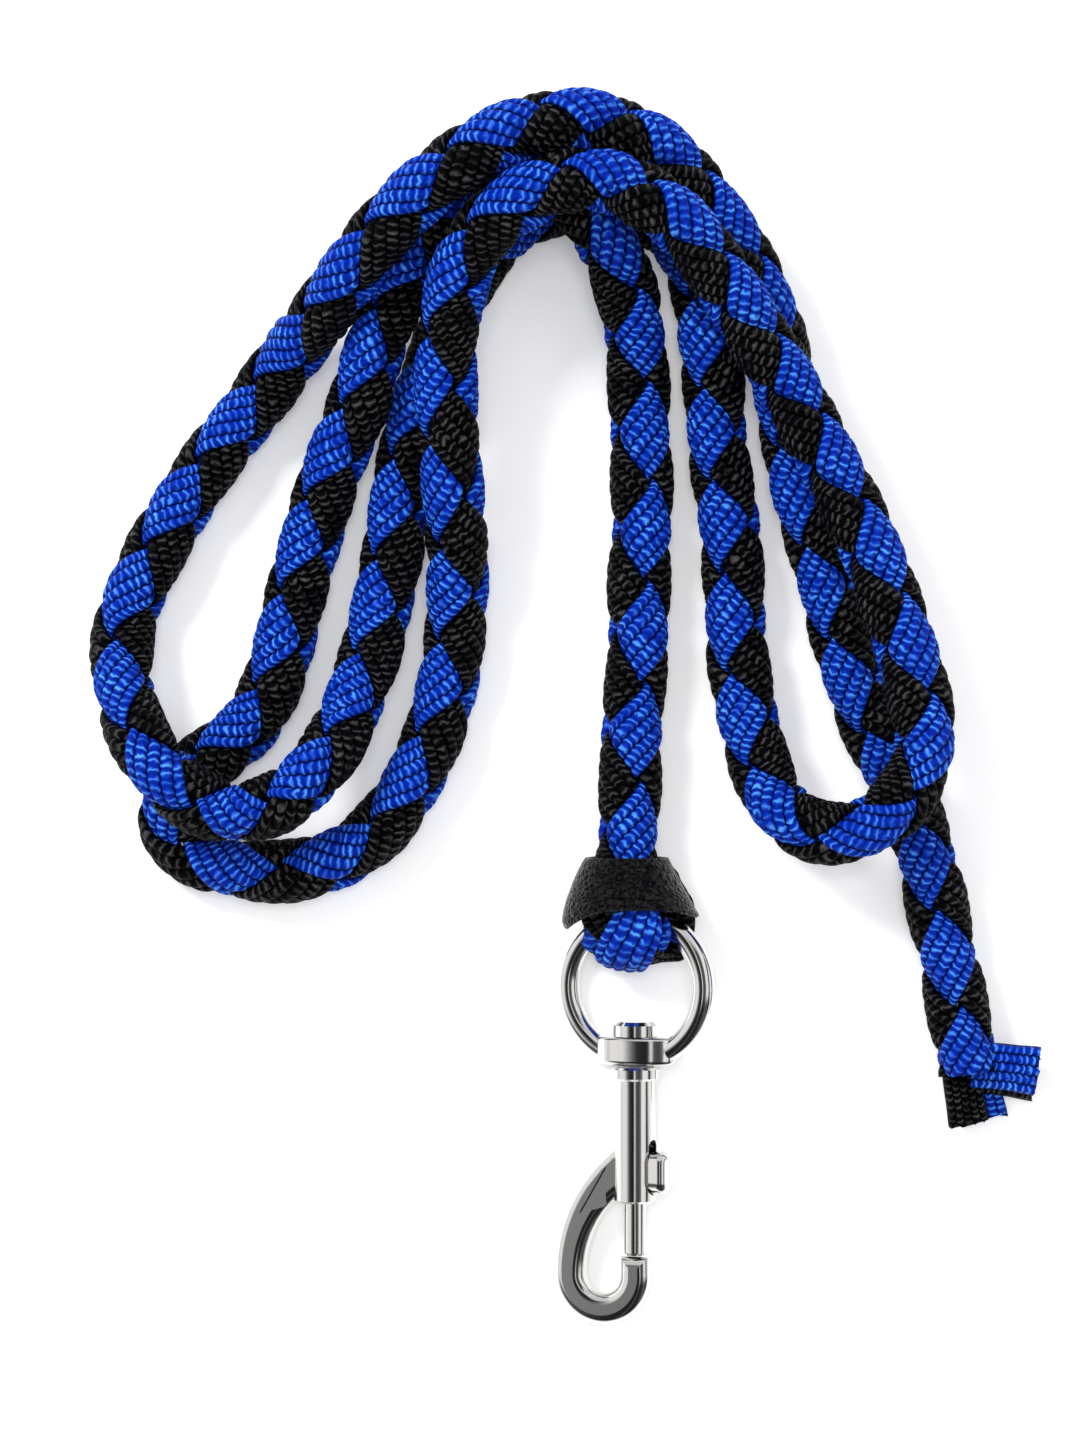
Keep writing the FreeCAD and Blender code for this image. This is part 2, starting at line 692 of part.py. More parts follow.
# ---------------------------------------------------------------- build, check, export
make_swivel_eye()
make_swivel_rivet()
make_thrust_washer()
make_snap_body()
make_plunger_bolt()
make_thumb_knob()
make_knob_pin()
make_plunger_spring()
make_collar()
make_tube("rope", ROPE_ROUTE, size("rope_tube_dia"))
make_tube("rope_bight", BIGHT_ROUTE, size("bight_dia"))
make_seizing_twine()
make_tape_ends()
doc.recompute()

for obj in doc.Objects:
    if "Invalid" in obj.State or "Error" in obj.State:
        raise RuntimeError("%s is %s" % (obj.Name, obj.State))
for node, obj in PARTS.items():
    if obj.Shape.isNull() or not obj.Shape.isValid() or not obj.Shape.Solids:
        raise RuntimeError("%s has no valid solid" % node)

os.makedirs("parts", exist_ok=True)
for node, obj in PARTS.items():
    obj.Shape.exportStep("parts/%s.step" % node)
    box = obj.Shape.BoundBox
    print("%-26s %10.1f mm3  x %6.1f %6.1f  y %6.1f %6.1f  z %6.2f %6.2f" % (
        node, obj.Shape.Volume, box.XMin, box.XMax, box.YMin, box.YMax, box.ZMin, box.ZMax))
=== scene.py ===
import math

import bmesh
import bpy
from bpy.props import FloatProperty, FloatVectorProperty, IntProperty, PointerProperty
from bpy.types import Operator, Panel, PropertyGroup
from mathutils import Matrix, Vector, noise


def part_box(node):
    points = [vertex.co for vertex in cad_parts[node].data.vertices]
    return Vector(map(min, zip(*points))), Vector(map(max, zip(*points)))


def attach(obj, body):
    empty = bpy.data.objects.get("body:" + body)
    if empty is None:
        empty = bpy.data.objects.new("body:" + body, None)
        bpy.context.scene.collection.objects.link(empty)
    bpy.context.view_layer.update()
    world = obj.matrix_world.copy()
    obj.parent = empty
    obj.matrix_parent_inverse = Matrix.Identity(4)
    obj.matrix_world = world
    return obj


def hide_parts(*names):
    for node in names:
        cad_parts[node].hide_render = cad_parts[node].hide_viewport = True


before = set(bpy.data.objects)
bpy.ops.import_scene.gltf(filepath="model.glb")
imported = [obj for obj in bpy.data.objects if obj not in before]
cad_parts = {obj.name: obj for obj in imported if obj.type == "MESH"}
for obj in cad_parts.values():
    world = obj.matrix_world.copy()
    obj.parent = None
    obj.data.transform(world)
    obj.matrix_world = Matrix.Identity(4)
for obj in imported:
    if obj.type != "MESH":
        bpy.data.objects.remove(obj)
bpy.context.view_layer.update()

bl_info = {
    "name": "Braided Lead Rope",
    "version": (1, 0, 0),
    "blender": (4, 5, 0),
    "location": "View3D > Sidebar > Lead Rope",
    "description": "Builds a two-colour braided lead rope with its collar and swivel bolt snap",
    "category": "Add Mesh",
}

MM = 0.001

# The rope's route from the collar to the cut tail, as the CAD part has it.
ROPE_ROUTE = [
    (-0.0024, 0.055, 0.0096), (-0.0012, 0.075, 0.0085), (-0.001, 0.0915, 0.0076),
    (0.0008, 0.108, 0.0076), (0.0008, 0.127, 0.0076), (0.002, 0.1455, 0.0076),
    (0.001, 0.1645, 0.0076), (0.0005, 0.1825, 0.009), (-0.002, 0.197, 0.015),
    (-0.007, 0.208, 0.0225), (-0.014, 0.218, 0.024), (-0.0235, 0.225, 0.024),
    (-0.0335, 0.2245, 0.022), (-0.0435, 0.2175, 0.019), (-0.0525, 0.207, 0.018),
    (-0.0595, 0.194, 0.0175), (-0.064, 0.182, 0.017), (-0.0675, 0.1685, 0.0155),
    (-0.0743, 0.154, 0.01), (-0.0797, 0.1365, 0.0076), (-0.0843, 0.119, 0.0076),
    (-0.0878, 0.1035, 0.0076), (-0.0938, 0.091, 0.0076), (-0.103, 0.0835, 0.0076),
    (-0.1112, 0.0782, 0.0076), (-0.1154, 0.071, 0.0076), (-0.1132, 0.0626, 0.0076),
    (-0.105, 0.0568, 0.0076), (-0.093, 0.0545, 0.0076), (-0.078, 0.0555, 0.0076),
    (-0.0655, 0.062, 0.0076), (-0.0565, 0.073, 0.0076), (-0.05, 0.0865, 0.0076),
    (-0.0455, 0.102, 0.0076), (-0.0435, 0.1185, 0.009), (-0.0435, 0.1345, 0.015),
    (-0.0445, 0.1485, 0.021), (-0.0455, 0.162, 0.0235), (-0.0464, 0.1755, 0.0245),
    (-0.0452, 0.189, 0.0265), (-0.0425, 0.2005, 0.03), (-0.0365, 0.21, 0.034),
    (-0.027, 0.217, 0.0385), (-0.016, 0.221, 0.0395), (-0.005, 0.22, 0.0395),
    (0.0045, 0.215, 0.039), (0.0125, 0.208, 0.037), (0.019, 0.1995, 0.0335),
    (0.026, 0.189, 0.0305), (0.0335, 0.1775, 0.0255), (0.0415, 0.164, 0.0235),
    (0.05, 0.1475, 0.023), (0.058, 0.1305, 0.0232), (0.064, 0.1135, 0.023),
    (0.0685, 0.098, 0.0235), (0.07, 0.0855, 0.024), (0.0655, 0.074, 0.024),
    (0.0573, 0.0665, 0.024), (0.0465, 0.0638, 0.023), (0.0372, 0.0676, 0.019),
    (0.0314, 0.077, 0.013), (0.028, 0.091, 0.009), (0.025, 0.107, 0.0076),
    (0.0243, 0.124, 0.0076), (0.0233, 0.1405, 0.0076), (0.0202, 0.1575, 0.0076),
    (0.0195, 0.173, 0.0076), (0.018, 0.188, 0.0076), (0.0155, 0.202, 0.0076),
    (0.0095, 0.213, 0.0076), (-0.001, 0.2185, 0.0076), (-0.012, 0.2195, 0.0076),
    (-0.0235, 0.218, 0.0076), (-0.033, 0.212, 0.0076), (-0.0405, 0.2025, 0.0076),
    (-0.0455, 0.1915, 0.0076), (-0.049, 0.1795, 0.0076), (-0.0535, 0.168, 0.0076),
    (-0.0565, 0.1545, 0.0076), (-0.0585, 0.1385, 0.0076), (-0.0615, 0.1235, 0.0076),
    (-0.065, 0.108, 0.009), (-0.0695, 0.094, 0.014), (-0.0755, 0.082, 0.021),
    (-0.085, 0.0725, 0.0235), (-0.096, 0.069, 0.0235), (-0.1055, 0.0715, 0.0235),
    (-0.1145, 0.0785, 0.0235), (-0.121, 0.088, 0.021), (-0.1257, 0.1015, 0.013),
    (-0.126, 0.1155, 0.0076), (-0.12, 0.1295, 0.0076), (-0.1125, 0.143, 0.0076),
    (-0.1035, 0.157, 0.0076), (-0.094, 0.1685, 0.0076), (-0.085, 0.181, 0.01),
    (-0.075, 0.192, 0.0225), (-0.0665, 0.203, 0.031), (-0.0575, 0.213, 0.0345),
    (-0.047, 0.222, 0.038), (-0.036, 0.2295, 0.0385), (-0.024, 0.2345, 0.0375),
    (-0.012, 0.2358, 0.035), (0.001, 0.232, 0.0305), (0.011, 0.2245, 0.026),
    (0.0182, 0.215, 0.0225), (0.026, 0.2045, 0.0195), (0.0315, 0.1935, 0.0155),
    (0.0352, 0.182, 0.011), (0.0372, 0.1685, 0.0076), (0.0398, 0.153, 0.0076),
    (0.0442, 0.1365, 0.0076), (0.0492, 0.119, 0.0076), (0.0532, 0.103, 0.0076),
    (0.0594, 0.087, 0.0076), (0.067, 0.0725, 0.0076), (0.072, 0.057, 0.0076),
    (0.075, 0.0415, 0.0076), (0.0786, 0.027, 0.0076), (0.0816, 0.0055, 0.0076),
]

# The doubled end, from inside the collar, over the swivel eye, round it and back beneath.
BIGHT_ROUTE = [
    (-0.0026, 0.0570, 0.0125), (-0.0030, 0.0520, 0.0140), (-0.0030, 0.0465, 0.0160),
    (-0.0026, 0.0410, 0.0163), (-0.0020, 0.0360, 0.0138), (-0.0006, 0.0340, 0.0094),
    (0.0012, 0.0352, 0.0056), (0.0034, 0.0400, 0.0042), (0.0040, 0.0460, 0.0048),
    (0.0030, 0.0520, 0.0060), (0.0018, 0.0560, 0.0070),
]

# The loose tape ends: name, CAD node, 1 for blue or -1 for black, share of the tape's full
# width, and the strip's own line.
TAPE_END_ROUTES = [
    ("tape_end_blue_straight", "blue_tape_end_straight", 1, 1.0,
     [(0.0826, 0.0140, 0.0050), (0.0836, 0.0070, 0.0040), (0.0848, 0.0010, 0.0026),
      (0.0862, -0.0062, 0.0019)]),
    ("tape_end_black_straight", "black_tape_end_straight", -1, 0.82,
     [(0.0796, 0.0140, 0.0072), (0.0800, 0.0070, 0.0066), (0.0809, -0.0002, 0.0058),
      (0.0822, -0.0072, 0.0050)]),
    ("tape_end_black_turned", "black_tape_end_turned", -1, 1.0,
     [(0.0826, 0.0060, 0.0052), (0.0870, 0.0058, 0.0050), (0.0930, 0.0049, 0.0049),
      (0.0980, 0.0042, 0.0048)]),
    ("tape_end_blue_turned", "blue_tape_end_turned", 1, 1.0,
     [(0.0826, 0.0074, 0.0084), (0.0870, 0.0072, 0.0083), (0.0930, 0.0066, 0.0082),
      (0.0984, 0.0058, 0.0080)]),
]

# How far the blue column of the braid is turned from straight up, towards the right hand of
# someone who walks the rope from the collar, as (route point, degrees).
ROPE_TWIST = [
    (0, 20), (8, 24), (15, 36), (19, 44), (23, 38), (26, -5), (30, -32), (34, -44), (38, -66),
    (43, -36), (48, -44), (52, -34), (57, -18), (61, -34), (72, -38), (76, 36), (79, 44),
    (83, 28), (87, -10), (92, -28), (98, -40), (104, -50), (106, -42), (109, 44), (112, 40),
    (116, 16), (119, 0),
]

# How far back the pads sit where the real rope's lay is shorter, as (route point, millimetres).
ROPE_SLIP = [
    (11, 0), (15, 9), (26, 10), (32, 5), (38, 3), (42, 0), (46, 9), (52, 14), (63, 15), (69, 21),
    (83, 18), (87, 29), (94, 29), (100, 26), (104, 36), (110, 38), (119, 42),
]

# How far the doubled end's section leans, in degrees, and the share of that lean which it
# loses on its way round the eye to the back.
BIGHT_LEAN = 20.0
BIGHT_LEAN_LOST = 0.75

# The doubled end's braid: where it starts, in radians, how far it is turned, in degrees, and
# its pulled-out lay, in metres.
BIGHT_PHASE = -0.63
BIGHT_TWIST = -7.0
BIGHT_PITCH = 0.095

# Width and depth of the doubled end at each point of its route, as shares of the rope's own.
BIGHT_SQUASH = [
    (0.95, 0.50), (1.10, 0.50), (1.50, 0.50), (1.70, 0.50), (1.64, 0.54), (1.40, 0.54),
    (1.40, 0.46), (1.46, 0.42), (1.38, 0.42), (1.05, 0.42), (0.85, 0.42),
]

# Share of the half circle that each tape of the doubled end covers, as (route point, share).
BIGHT_FRONT_BLUE = [(0, 0.52), (5, 0.48), (7, 0.95), (10, 1.0)]
BIGHT_BACK_BLUE = [(0, 1.16)]
BIGHT_BLACK = [(0, 0.82)]

# The collar in millimetres: half its width at the top, and how much wider each side flares at
# the foot; half its depth at the foot, and how much of that is lost by the top.
COLLAR_TOP_HALF_WIDTH = 10.2
COLLAR_LEFT_FLARE = 7.4
COLLAR_RIGHT_FLARE = 5.8
COLLAR_FOOT_HALF_DEPTH = 11.7
COLLAR_DEPTH_LOST = 2.4

# The middle of its foot, as (x, z), and how far that moves by the top.
COLLAR_FOOT_MIDDLE = (-0.3, 11.9)
COLLAR_MIDDLE_MOVED = (-1.9, -2.2)

# How far its foot hangs down at the sides, with the share of that on each, and how far its foot
# and its top stand above the foot and the top of the solid that it takes the place of.
COLLAR_DROOP = 4.8
COLLAR_LEFT_DROOP = 1.15
COLLAR_RIGHT_DROOP = 0.40
COLLAR_FOOT_RAISED = 0.6
COLLAR_TOP_RAISED = 1.2

# Its leather's thickness, the depth of its creases, and the power of its rounded square
# section, where 2 would make an ellipse.
COLLAR_WALL = 1.3
COLLAR_CREASE = 0.22
COLLAR_SQUARENESS = 2.3

# A loose tape end: the length that has frayed and how far its edges curl down, in millimetres,
# and how much wider it is at its very end, as a share.
FRAY_LENGTH = 6
EDGE_CURL = 0.5
FRAY_SPREAD = 0.06

# The lamps: name, place, side, power in watts.
LAMPS = [
    ("key_light", (-0.85, 0.95, 1.15), 0.40, 19.0),
    ("fill_light", (1.25, 0.10, 0.95), 0.8, 3.0),
    ("top_light", (0.0, 0.30, 1.9), 0.5, 9.0),
]
LAMP_TARGET = (0, 0.08, 0)

# What the plating mirrors from left to right, as (place, grey): a dark room with strip lights.
MIRRORED_STRIPS = [
    (0.02, 0.95), (0.12, 0.90), (0.16, 0.42), (0.19, 0.20), (0.25, 0.03), (0.355, 0.01),
    (0.42, 0.012), (0.445, 0.85), (0.475, 0.9), (0.50, 0.10), (0.62, 0.06), (0.73, 0.16),
    (0.765, 1.0), (0.90, 0.95), (0.925, 0.02), (0.955, 0.03), (0.975, 0.9),
]


# ------------------------------------------------------------------ settings
class LeadRopeRopeSettings(PropertyGroup):
    diameter: FloatProperty(
        name="Rope diameter", description="Across the braid, high spot to high spot",
        default=0.0159, unit="LENGTH")
    pitch: FloatProperty(
        name="Braid pitch", description="Length of rope in which a tape goes once round",
        default=0.0492, unit="LENGTH")
    first_pad: FloatProperty(
        name="First blue pad", description="From the rope's hidden start to its first blue pad",
        default=0.0100, unit="LENGTH")
    tape_thickness: FloatProperty(
        name="Tape thickness", description="Of one flat knitted tape",
        default=0.0031, unit="LENGTH")
    tape_width: FloatProperty(
        name="Tape width", description="Of one flat knitted tape, laid flat",
        default=0.0115, unit="LENGTH")
    coverage: FloatProperty(
        name="Coverage", description="Share of the half circle that one tape covers",
        default=0.93, subtype="FACTOR")
    ridges: IntProperty(
        name="Ridges", description="Rounded ridges along one tape", default=5)
    stitch: FloatProperty(
        name="Stitch", description="Length of one knitted stitch",
        default=0.0017, unit="LENGTH")
    blue: FloatVectorProperty(
        name="Blue", description="Colour of the blue tapes", subtype="COLOR", size=4,
        default=(0.0004, 0.023, 0.39, 1))
    # Painted highlight: the bright blue painted along the top of each stitch.
    blue_painted_highlight: FloatVectorProperty(
        name="Blue highlight", description="Colour of the blue yarn on top of a stitch",
        subtype="COLOR", size=4, default=(0.085, 0.35, 1.0, 1))
    # Painted shade: the dark blue painted into the grooves between ridges and the gaps between
    # stitches.
    blue_painted_shade: FloatVectorProperty(
        name="Blue shadow", description="Colour of the blue yarn between stitches",
        subtype="COLOR", size=4, default=(0, 0.0008, 0.045, 1))
    black: FloatVectorProperty(
        name="Black", description="Colour of the black tapes", subtype="COLOR", size=4,
        default=(0.0009, 0.0010, 0.0018, 1))
    # Painted highlight: the grey painted along the top of each black stitch.
    black_painted_highlight: FloatVectorProperty(
        name="Black highlight", description="Colour of the black yarn on top of a stitch",
        subtype="COLOR", size=4, default=(0.068, 0.066, 0.066, 1))
    # Painted shade: the near black painted into the grooves between ridges and the gaps between
    # stitches.
    black_painted_shade: FloatVectorProperty(
        name="Black shadow", description="Colour of the black yarn between stitches",
        subtype="COLOR", size=4, default=(0.0001, 0.0001, 0.0002, 1))


class LeadRopeStageSettings(PropertyGroup):
    camera_height: FloatProperty(
        name="Camera height", description="Above the floor", default=1.0, unit="LENGTH")
    view_height: FloatProperty(
        name="View height", description="Length of floor that the view takes in",
        default=0.3584, unit="LENGTH")
    view_centre: FloatVectorProperty(
        name="View centre", description="Point of the floor under the camera",
        subtype="XYZ", size=2, default=(-0.02265, 0.09108))


def rope_settings():
    return bpy.context.scene.lead_rope


def stage_settings():
    return bpy.context.scene.lead_rope_stage


# ------------------------------------------------------------------ lines to follow
def smooth_step(x):
    x = min(1.0, max(0.0, x))
    return x * x * (3.0 - 2.0 * x)


class Line:
    """A smooth line on a route's points, read back from its NURBS spline in even steps."""

    def __init__(self, name, route, step, side=None):
        curve = bpy.data.curves.new(name, "CURVE")
        curve.dimensions = "3D"
        curve.resolution_u = 24
        spline = curve.splines.new("NURBS")
        spline.points.add(len(route) - 1)
        for point, place in zip(spline.points, route):
            point.co = (*place, 1.0)
        spline.order_u = 3
        spline.use_endpoint_u = True
        holder = bpy.data.objects.new(name, curve)
        mesh = bpy.data.meshes.new_from_object(holder)
        points = [vertex.co.copy() for vertex in mesh.vertices]
        bpy.data.meshes.remove(mesh)
        bpy.data.objects.remove(holder)
        bpy.data.curves.remove(curve)

        reach = [0.0]
        for a, b in zip(points, points[1:]):
            reach.append(reach[-1] + (b - a).length)
        self.length = reach[-1]
        count = max(8, round(self.length / step)) + 1
        self.step = self.length / (count - 1)
        self.points = []
        at = 0
        for i in range(count):
            want = min(i * self.step, self.length)
            while at < len(points) - 2 and reach[at + 1] < want:
                at += 1
            share = (want - reach[at]) / max(1e-9, reach[at + 1] - reach[at])
            self.points.append(points[at].lerp(points[at + 1], share))

        self.frames = []
        last = count - 1
        for i in range(count):
            ahead = (self.points[min(last, i + 2)] - self.points[max(0, i - 2)]).normalized()
            if side is None:
                up = Vector((0, 0, 1))
                up = (up - ahead * up.dot(ahead)).normalized()
                self.frames.append((up, ahead.cross(up)))
            else:
                right = Vector(side(i / last))
                right = (right - ahead * right.dot(ahead)).normalized()
                self.frames.append((right.cross(ahead), right))
        self.marks = self.route_marks(route)

    def route_marks(self, route):
        """Distance along the line of the place nearest to each route point, in order."""
        marks = []
        start = 0
        window = 90
        for place in route:
            place = Vector(place)
            near = min(
                range(start, min(len(self.points), start + window)),
                key=lambda i: (self.points[i] - place).length_squared,
            )
            marks.append(near * self.step)
            start = near
        return marks

    def blend(self, keys, along):
        """Value at a distance along the line, from (route point, value) keys."""
        before = keys[0]
        for after in keys[1:]:
            a = self.marks[before[0]]
            b = self.marks[after[0]]
            if along <= b:
                share = smooth_step((along - a) / max(1e-9, b - a))
                return before[1] + (after[1] - before[1]) * share
            before = after
        return keys[-1][1]


# ------------------------------------------------------------------ braid
OUTER_COLUMNS = 25
INNER_COLUMNS = 6
COLUMNS = OUTER_COLUMNS + INNER_COLUMNS

# A tape's section, as shares of its thickness: its face, a ridge on the face, and its back.
TAPE_FACE = 0.30
TAPE_RIDGE = 0.24
TAPE_BACK = 0.46

# Where one tape crosses another it rises or dips by this share of its thickness, and its top
# stands this share above its own middle.
CROSSING_LIFT = 0.50
TAPE_TOP = 0.52

# How a tape wanders, as (length over which it changes, amount): its width as a share, its
# place round the rope in radians, its height and the end of a loose tape in metres.
WIDTH_WANDER = (0.021, 0.07)
PLACE_WANDER = (0.027, 0.10)
HEIGHT_WANDER = (0.013, 0.00035)
END_WANDER = (1.0, 0.0016)


def squarer(wave, sharp=0.55):
    """A cosine's value pushed towards -1 and 1, so that crossing tapes stay apart."""
    return wave * math.sqrt(1.0 + sharp * sharp) / math.sqrt(wave * wave + sharp * sharp)


def drift(seed, along, scale, amount):
    """A slow, repeatable wander along the rope."""
    return amount * noise.noise(Vector((along / scale, seed * 7.31, 3.7)))


def crown(across):
    """Share of its full height that a tape has across its width: none at its two edges."""
    return (1.0 - abs(across) ** 5) ** 0.5


def section_place(around, ridges):
    """Across share (-1 to 1) and height share of a point of a tape's section."""
    if around <= OUTER_COLUMNS:
        across = 2.0 * around / OUTER_COLUMNS - 1.0
        ridge = abs(math.sin(math.pi * ridges * (across + 1.0) / 2.0)) ** 0.6
        return across, crown(across) * (TAPE_FACE + TAPE_RIDGE * ridge)
    across = 1.0 - 2.0 * (around - OUTER_COLUMNS) / INNER_COLUMNS
    return across, -TAPE_BACK * crown(across)


def new_piece(name, bm, material, smooth=True):
    mesh = bpy.data.meshes.new(name)
    bm.to_mesh(mesh)
    bm.free()
    for polygon in mesh.polygons:
        polygon.use_smooth = smooth
    mesh.materials.append(material)
    piece = bpy.data.objects.new(name, mesh)
    bpy.context.scene.collection.objects.link(piece)
    return piece


def swept_sheet(rows, place):
    """A closed tube of rows by columns. place(row, column) gives a point and a UV pair."""
    bm = bmesh.new()
    uv_layer = bm.loops.layers.uv.new("UVMap")
    bmesh.ops.create_grid(bm, x_segments=rows - 1, y_segments=COLUMNS, size=1.0)
    bm.verts.index_update()
    spots = []
    for vertex in bm.verts:
        row = round((vertex.co.x + 1.0) / 2.0 * (rows - 1))
        column = round((vertex.co.y + 1.0) / 2.0 * COLUMNS)
        point, uv = place(row, column)
        vertex.co = point
        spots.append(uv)
    for face in bm.faces:
        for loop in face.loops:
            loop[uv_layer].uv = spots[loop.vert.index]
    bmesh.ops.remove_doubles(bm, verts=bm.verts[:], dist=1e-7)
    rims = [edge for edge in bm.edges if edge.is_boundary]
    bmesh.ops.holes_fill(bm, edges=rims, sides=0)
    bmesh.ops.recalc_face_normals(bm, faces=bm.faces[:])
    return bm


def braid_tape(name, line, hand, turn, material, twist, slip=None, squash=None, phase=0.0,
               pitch=None, coverage=None):
    """One of the four tapes. hand is 1 for blue and -1 for black; turn is 0 or 1."""
    rope = rope_settings()
    radius = rope.diameter / 2.0
    thick = rope.tape_thickness
    lift = thick * CROSSING_LIFT
    middle = radius - lift - thick * TAPE_TOP
    lean = 2.0 * math.pi / (pitch or rope.pitch)
    slant = math.atan(lean * middle)
    seed = 1.0 + turn + (3.0 if hand < 0 else 0.0)

    def place(row, column):
        along = row * line.step
        across, height = section_place(column, rope.ridges)
        cover = coverage(along) if coverage else rope.coverage
        spread = cover * math.pi / 2.0 * (1.0 + drift(seed, along, *WIDTH_WANDER))
        delta = across * spread + drift(seed + 0.5, along, *PLACE_WANDER)
        start = rope.first_pad - (slip(along) if slip else 0.0)
        wave = (along - start) * lean + phase
        angle = hand * wave + turn * math.pi + delta
        over = hand * squarer(math.cos(2.0 * wave + hand * delta))
        reach = middle + lift * over + height * thick + drift(seed + 9, along, *HEIGHT_WANDER)
        angle += twist(along)
        up, right = line.frames[row]
        wide, deep = (1.0, 1.0) if squash is None else squash(along)
        point = line.points[row] + right * (reach * math.sin(angle) * wide)
        point += up * (reach * math.cos(angle) * deep)
        u = along / math.cos(slant) + hand * reach * delta * math.sin(slant)
        if column > OUTER_COLUMNS:
            across = 2.0 - across
        return point, (u, (across + 1.0) / 2.0)

    bm = swept_sheet(len(line.points), place)
    return new_piece(name, bm, material)


# ------------------------------------------------------------------ materials
def new_group(name, inputs, outputs):
    group = bpy.data.node_groups.new(name, "ShaderNodeTree")
    for label, kind, default in inputs:
        socket = group.interface.new_socket(label, in_out="INPUT", socket_type=kind)
        if default is not None:
            socket.default_value = default
    for label, kind in outputs:
        group.interface.new_socket(label, in_out="OUTPUT", socket_type=kind)
    return group


class Nodes:
    """Short ways to add and join nodes in one tree."""

    def __init__(self, tree):
        self.tree = tree

    def add(self, kind, **settings):
        node = self.tree.nodes.new(kind)
        for key, value in settings.items():
            setattr(node, key, value)
        return node

    def join(self, source, target):
        self.tree.links.new(source, target)

    def math(self, operation, *values, clamp=False):
        node = self.add("ShaderNodeMath", operation=operation, use_clamp=clamp)
        for socket, value in zip(node.inputs, values):
            if isinstance(value, (int, float)):
                socket.default_value = value
            else:
                self.join(value, socket)
        return node.outputs[0]

    def mix_colour(self, factor, first, second):
        node = self.add("ShaderNodeMix", data_type="RGBA")
        for socket, value in zip((node.inputs[0], node.inputs[6], node.inputs[7]),
                                 (factor, first, second)):
            if isinstance(value, (int, float, tuple)):
                socket.default_value = value
            else:
                self.join(value, socket)
        return node.outputs[2]

    def texture(self, kind, coords, scale, detail=None, **settings):
        """A texture on Object coordinates. The scale is in patterns to the metre."""
        node = self.add(kind, **settings)
        node.inputs["Scale"].default_value = scale
        if detail is not None:
            node.inputs["Detail"].default_value = detail
        self.join(coords.outputs["Object"], node.inputs["Vector"])
        return node

    def bump(self, height, strength, distance, shader):
        """Let a height shape the shader's surface."""
        node = self.add("ShaderNodeBump")
        node.inputs["Strength"].default_value = strength
        node.inputs["Distance"].default_value = distance
        self.join(height, node.inputs["Height"])
        self.join(node.outputs["Normal"], shader.inputs["Normal"])

    def ease(self, value, start, end):
        """0 at the start, 1 at the end, and a soft step between."""
        node = self.add("ShaderNodeMapRange", interpolation_type="SMOOTHSTEP")
        node.inputs["From Min"].default_value = start
        node.inputs["From Max"].default_value = end
        self.join(value, node.inputs["Value"])
        return node.outputs[0]


# The knit, in stitches: how far one arches over a ridge, how far the next ridge's are set off,
# and how far they wander. The ridges' own wander is in ridges.
STITCH_ARCH = 0.17
STITCH_SET_OFF = 0.37
STITCH_SWAY = 1.3
RIDGE_SWAY = 0.16


